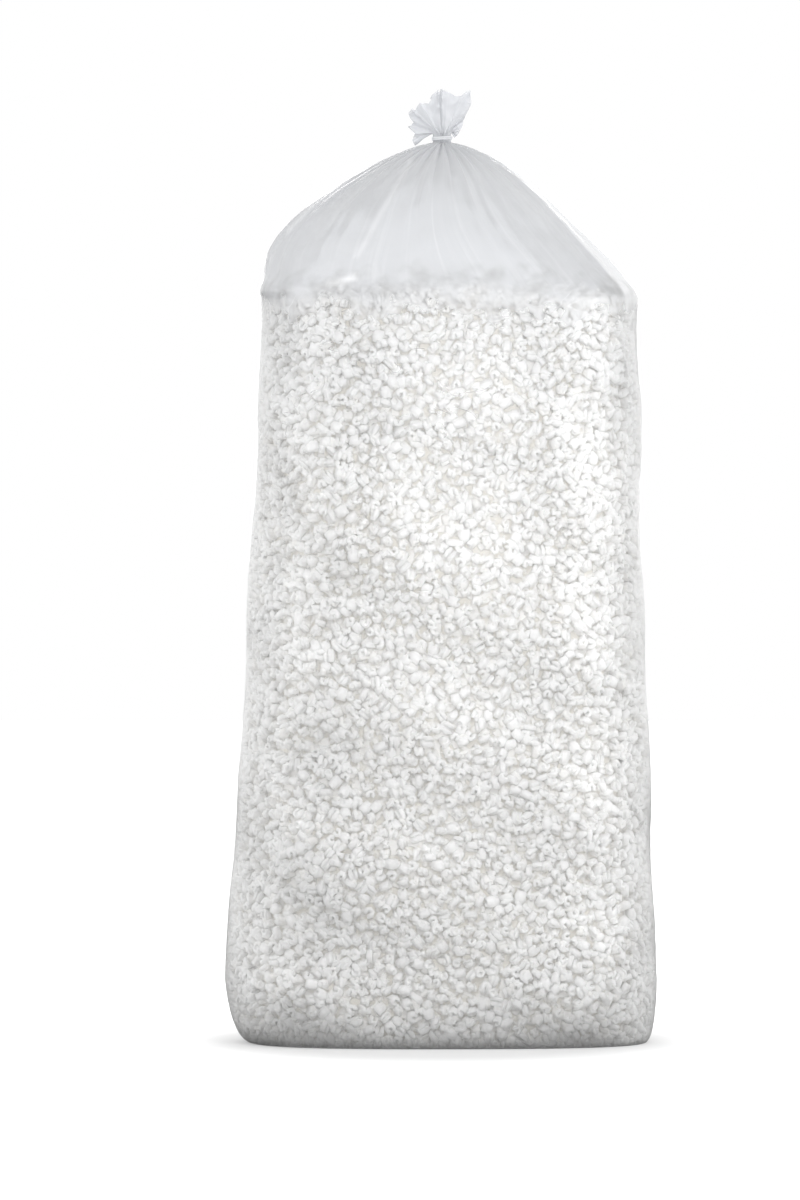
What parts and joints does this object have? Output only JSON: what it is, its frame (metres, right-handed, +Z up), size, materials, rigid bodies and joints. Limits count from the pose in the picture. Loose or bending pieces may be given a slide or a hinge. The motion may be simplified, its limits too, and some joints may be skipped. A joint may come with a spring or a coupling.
{
  "type": "bag of loose-fill packing peanuts",
  "caption": "Tall clear film sack filled with white S-shaped foam packing peanuts, gathered at the neck and closed with a twist tie.",
  "frame": {"origin": "middle of the flat foot, on the surface that the sack stands on", "axes": "+Z up to the tied neck, +X to the right seen from the front, the front faces -Y"},
  "size_m": [0.7179, 0.5374, 1.5928],
  "materials": {
    "clear_film": "clear soft polyethylene film, slightly hazy, with fine creases and soft gloss",
    "peanut_foam": "white expanded polystyrene foam, matt, with a faint bead texture",
    "tie_plastic": "white plastic-covered wire, soft gloss"
  },
  "bodies": {
    "root": {"clear_film_sack": "clear_film", "loose_fill": "peanut_foam", "neck_twist_tie": "tie_plastic", "peanut_01": "peanut_foam", "peanut_02": "peanut_foam", "peanut_03": "peanut_foam", "peanut_04": "peanut_foam", "peanut_05": "peanut_foam", "peanut_06": "peanut_foam", "peanut_07": "peanut_foam", "peanut_08": "peanut_foam", "peanut_09": "peanut_foam", "peanut_10": "peanut_foam", "peanut_11": "peanut_foam", "peanut_12": "peanut_foam", "peanut_13": "peanut_foam", "peanut_14": "peanut_foam", "peanut_15": "peanut_foam", "peanut_16": "peanut_foam", "peanut_17": "peanut_foam", "peanut_18": "peanut_foam", "peanut_19": "peanut_foam", "peanut_20": "peanut_foam", "peanut_21": "peanut_foam", "peanut_22": "peanut_foam", "peanut_23": "peanut_foam", "peanut_24": "peanut_foam", "peanut_25": "peanut_foam", "peanut_26": "peanut_foam", "peanut_27": "peanut_foam", "peanut_28": "peanut_foam", "peanut_29": "peanut_foam", "peanut_30": "peanut_foam", "peanut_31": "peanut_foam", "peanut_32": "peanut_foam", "peanut_33": "peanut_foam", "peanut_34": "peanut_foam", "peanut_35": "peanut_foam", "peanut_36": "peanut_foam"}
  },
  "joints": []
}
